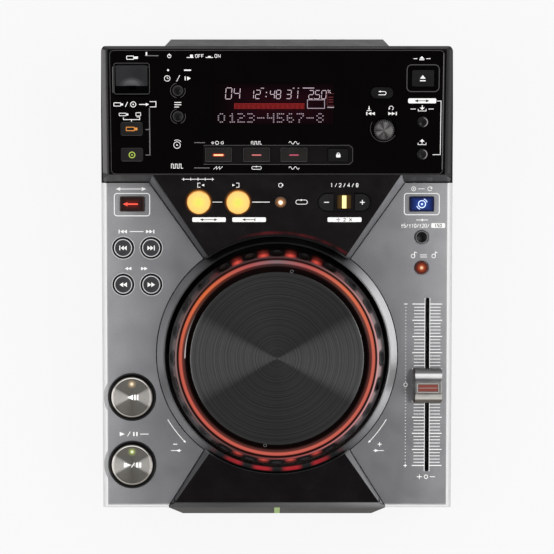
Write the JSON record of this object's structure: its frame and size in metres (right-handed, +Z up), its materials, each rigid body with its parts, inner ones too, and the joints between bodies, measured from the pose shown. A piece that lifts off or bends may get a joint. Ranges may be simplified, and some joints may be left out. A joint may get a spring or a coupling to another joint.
{
  "type": "tabletop DJ CD player",
  "caption": "Tabletop disc player for DJ use: slot-loading drive in the nose, large lit jog wheel, tempo fader, loop buttons on a ramp and a raised sloping display unit.",
  "frame": {"origin": "on the table, below the middle of the overall box", "axes": "+X to the right as the user faces it, +Y to the rear where the sockets are, +Z up"},
  "size_m": [0.2178, 0.301, 0.1054],
  "materials": {
    "black_plastic": "satin",
    "foot_rubber": "matte",
    "silver_paint": "satin",
    "grey_paint": "satin",
    "satin_black": "satin",
    "light_guide": "gloss",
    "gloss_black": "gloss",
    "grey_black": "satin",
    "steel": "brushed",
    "board_green": "satin",
    "supply_parts": "satin",
    "display_dark": "gloss",
    "socket_metal": "satin",
    "screw_steel": "satin",
    "smoky_plastic": "gloss",
    "ring_light": "gloss",
    "disc_metal": "brushed",
    "white_plastic": "satin",
    "knob_grey": "satin",
    "spun_metal": "brushed",
    "direction_lens": "gloss",
    "jog_mode_lens": "gloss",
    "button_black": "gloss",
    "tempo_lens": "gloss",
    "button_grey": "satin",
    "loop_lens": "gloss",
    "reloop_lens": "gloss",
    "head_button": "satin",
    "knob_black": "satin",
    "lid_black": "satin",
    "pickup_grey": "satin"
  },
  "bodies": {
    "case": {"base_pan": "black_plastic", "feet": "foot_rubber", "left_panel": "silver_paint", "right_panel": "silver_paint", "center_frame": "grey_paint", "center_plates": "satin_black", "led_lenses": "light_guide", "head_case": "grey_paint", "display_panel": "gloss_black", "rear_cover": "grey_black", "jog_bearing": "steel", "button_rings": "satin_black", "fader_frame": "steel", "circuit_boards": "board_green", "power_supply": "supply_parts", "display_module": "display_dark", "drive_frame": "steel", "spindle_motor": "steel", "sockets": "socket_metal", "screws": "screw_steel"},
    "jog_wheel": {"jog_dial": "smoky_plastic", "jog_light_ring": "ring_light", "jog_disc": "disc_metal", "jog_spindle": "steel"},
    "tempo_fader": {"fader_carriage": "white_plastic", "fader_knob": "knob_grey"},
    "cue_button": {"cue_button": "spun_metal"},
    "play_button": {"play_button": "spun_metal"},
    "direction_button": {"direction_button": "direction_lens"},
    "jog_mode_button": {"jog_mode_button": "jog_mode_lens"},
    "tempo_range_button": {"tempo_range_button": "button_black"},
    "master_tempo_button": {"master_tempo_button": "tempo_lens"},
    "track_back_button": {"track_back_button": "button_grey"},
    "track_forward_button": {"track_forward_button": "button_grey"},
    "search_back_button": {"search_back_button": "button_grey"},
    "search_forward_button": {"search_forward_button": "button_grey"},
    "loop_in_button": {"loop_in_button": "loop_lens"},
    "loop_out_button": {"loop_out_button": "loop_lens"},
    "reloop_button": {"reloop_button": "reloop_lens"},
    "beat_minus_button": {"beat_minus_button": "button_black"},
    "beat_plus_button": {"beat_plus_button": "button_black"},
    "usb_source_button": {"usb_source_button": "head_button"},
    "disc_source_button": {"disc_source_button": "head_button"},
    "time_mode_button": {"time_mode_button": "button_black"},
    "text_mode_button": {"text_mode_button": "button_black"},
    "effect_button_1": {"effect_button_1": "head_button"},
    "effect_button_2": {"effect_button_2": "head_button"},
    "effect_button_3": {"effect_button_3": "head_button"},
    "hold_button": {"hold_button": "head_button"},
    "back_button": {"back_button": "head_button"},
    "memory_button": {"memory_button": "button_black"},
    "call_button": {"call_button": "button_black"},
    "eject_button": {"eject_button": "head_button"},
    "select_shaft": {"select_shaft": "steel"},
    "select_knob": {"select_knob": "knob_black"},
    "usb_lid": {"usb_lid": "lid_black"},
    "power_switch": {"power_switch": "button_black"},
    "turntable": {"turntable": "black_plastic"},
    "pickup": {"pickup": "pickup_grey"},
    "loading_roller": {"loading_roller": "foot_rubber"}
  },
  "joints": [
    {"name": "jog_spin", "type": "hinge", "parent": "case", "child": "jog_wheel", "pos_m": [0, -0.0497, 0.0644], "axis": [0, -0.0785, 0.9969], "continuous": true},
    {"name": "fader_slide", "type": "slide", "parent": "case", "child": "tempo_fader", "axis": [0, 0.9969, 0.0785], "range_m": [-0.0505, 0.0505]},
    {"name": "cue_press", "type": "slide", "parent": "case", "child": "cue_button", "axis": [0, 0.0785, -0.9969], "range_m": [0, 0.0015], "stiffness_N_per_m": 400, "springref_m": -0.0015},
    {"name": "play_press", "type": "slide", "parent": "case", "child": "play_button", "axis": [0, 0.0785, -0.9969], "range_m": [0, 0.0015], "stiffness_N_per_m": 400, "springref_m": -0.0015},
    {"name": "direction_press", "type": "slide", "parent": "case", "child": "direction_button", "axis": [0, 0.0785, -0.9969], "range_m": [0, 0.0008], "stiffness_N_per_m": 300, "springref_m": -0.001},
    {"name": "jog_mode_press", "type": "slide", "parent": "case", "child": "jog_mode_button", "axis": [0, 0.0785, -0.9969], "range_m": [0, 0.0008], "stiffness_N_per_m": 300, "springref_m": -0.001},
    {"name": "tempo_range_press", "type": "slide", "parent": "case", "child": "tempo_range_button", "axis": [0, 0.0785, -0.9969], "range_m": [0, 0.0008], "stiffness_N_per_m": 300, "springref_m": -0.001},
    {"name": "master_tempo_press", "type": "slide", "parent": "case", "child": "master_tempo_button", "axis": [0, 0.0785, -0.9969], "range_m": [0, 0.0008], "stiffness_N_per_m": 300, "springref_m": -0.001},
    {"name": "track_back_press", "type": "slide", "parent": "case", "child": "track_back_button", "axis": [0, 0.0785, -0.9969], "range_m": [0, 0.0008], "stiffness_N_per_m": 300, "springref_m": -0.001},
    {"name": "track_forward_press", "type": "slide", "parent": "case", "child": "track_forward_button", "axis": [0, 0.0785, -0.9969], "range_m": [0, 0.0008], "stiffness_N_per_m": 300, "springref_m": -0.001},
    {"name": "search_back_press", "type": "slide", "parent": "case", "child": "search_back_button", "axis": [0, 0.0785, -0.9969], "range_m": [0, 0.0008], "stiffness_N_per_m": 300, "springref_m": -0.001},
    {"name": "search_forward_press", "type": "slide", "parent": "case", "child": "search_forward_button", "axis": [0, 0.0785, -0.9969], "range_m": [0, 0.0008], "stiffness_N_per_m": 300, "springref_m": -0.001},
    {"name": "loop_in_press", "type": "slide", "parent": "case", "child": "loop_in_button", "axis": [0, 0.2419, -0.9703], "range_m": [0, 0.0008], "stiffness_N_per_m": 300, "springref_m": -0.001},
    {"name": "loop_out_press", "type": "slide", "parent": "case", "child": "loop_out_button", "axis": [0, 0.2419, -0.9703], "range_m": [0, 0.0008], "stiffness_N_per_m": 300, "springref_m": -0.001},
    {"name": "reloop_press", "type": "slide", "parent": "case", "child": "reloop_button", "axis": [0, 0.2419, -0.9703], "range_m": [0, 0.0008], "stiffness_N_per_m": 300, "springref_m": -0.001},
    {"name": "beat_minus_press", "type": "slide", "parent": "case", "child": "beat_minus_button", "axis": [0, 0.2419, -0.9703], "range_m": [0, 0.0008], "stiffness_N_per_m": 300, "springref_m": -0.001},
    {"name": "beat_plus_press", "type": "slide", "parent": "case", "child": "beat_plus_button", "axis": [0, 0.2419, -0.9703], "range_m": [0, 0.0008], "stiffness_N_per_m": 300, "springref_m": -0.001},
    {"name": "usb_source_press", "type": "slide", "parent": "case", "child": "usb_source_button", "axis": [0, 0.2123, -0.9772], "range_m": [0, 0.0008], "stiffness_N_per_m": 300, "springref_m": -0.001},
    {"name": "disc_source_press", "type": "slide", "parent": "case", "child": "disc_source_button", "axis": [0, 0.2123, -0.9772], "range_m": [0, 0.0008], "stiffness_N_per_m": 300, "springref_m": -0.001},
    {"name": "time_mode_press", "type": "slide", "parent": "case", "child": "time_mode_button", "axis": [0, 0.2123, -0.9772], "range_m": [0, 0.0008], "stiffness_N_per_m": 300, "springref_m": -0.001},
    {"name": "text_mode_press", "type": "slide", "parent": "case", "child": "text_mode_button", "axis": [0, 0.2123, -0.9772], "range_m": [0, 0.0008], "stiffness_N_per_m": 300, "springref_m": -0.001},
    {"name": "effect_1_press", "type": "slide", "parent": "case", "child": "effect_button_1", "axis": [0, 0.2123, -0.9772], "range_m": [0, 0.0008], "stiffness_N_per_m": 300, "springref_m": -0.001},
    {"name": "effect_2_press", "type": "slide", "parent": "case", "child": "effect_button_2", "axis": [0, 0.2123, -0.9772], "range_m": [0, 0.0008], "stiffness_N_per_m": 300, "springref_m": -0.001},
    {"name": "effect_3_press", "type": "slide", "parent": "case", "child": "effect_button_3", "axis": [0, 0.2123, -0.9772], "range_m": [0, 0.0008], "stiffness_N_per_m": 300, "springref_m": -0.001},
    {"name": "hold_press", "type": "slide", "parent": "case", "child": "hold_button", "axis": [0, 0.2123, -0.9772], "range_m": [0, 0.0008], "stiffness_N_per_m": 300, "springref_m": -0.001},
    {"name": "back_press", "type": "slide", "parent": "case", "child": "back_button", "axis": [0, 0.2123, -0.9772], "range_m": [0, 0.0008], "stiffness_N_per_m": 300, "springref_m": -0.001},
    {"name": "memory_press", "type": "slide", "parent": "case", "child": "memory_button", "axis": [0, 0.2123, -0.9772], "range_m": [0, 0.0008], "stiffness_N_per_m": 300, "springref_m": -0.001},
    {"name": "call_press", "type": "slide", "parent": "case", "child": "call_button", "axis": [0, 0.2123, -0.9772], "range_m": [0, 0.0008], "stiffness_N_per_m": 300, "springref_m": -0.001},
    {"name": "eject_press", "type": "slide", "parent": "case", "child": "eject_button", "axis": [0, 0.2123, -0.9772], "range_m": [0, 0.0008], "stiffness_N_per_m": 300, "springref_m": -0.001},
    {"name": "select_press", "type": "slide", "parent": "case", "child": "select_shaft", "axis": [0, 0.2123, -0.9772], "range_m": [0, 0.0008], "stiffness_N_per_m": 400, "springref_m": -0.0012},
    {"name": "select_spin", "type": "hinge", "parent": "select_shaft", "child": "select_knob", "pos_m": [0.065, 0.08905, 0.09507], "axis": [0, -0.2123, 0.9772], "continuous": true},
    {"name": "usb_lid_hinge", "type": "hinge", "parent": "case", "child": "usb_lid", "pos_m": [-0.0882, 0.12629, 0.10168], "axis": [-1, 0, 0], "range_deg": [0, 90]},
    {"name": "power_press", "type": "slide", "parent": "case", "child": "power_switch", "axis": [0, -1, 0], "range_m": [0, 0.003], "stiffness_N_per_m": 300, "springref_m": -0.001},
    {"name": "turntable_spin", "type": "hinge", "parent": "case", "child": "turntable", "pos_m": [0, -0.078, 0.033], "axis": [0, 0, 1], "continuous": true},
    {"name": "pickup_slide", "type": "slide", "parent": "case", "child": "pickup", "axis": [0, 1, 0], "range_m": [-0.017, 0.017]},
    {"name": "roller_spin", "type": "hinge", "parent": "case", "child": "loading_roller", "pos_m": [0, -0.1312, 0.0325], "axis": [1, 0, 0], "continuous": true}
  ]
}
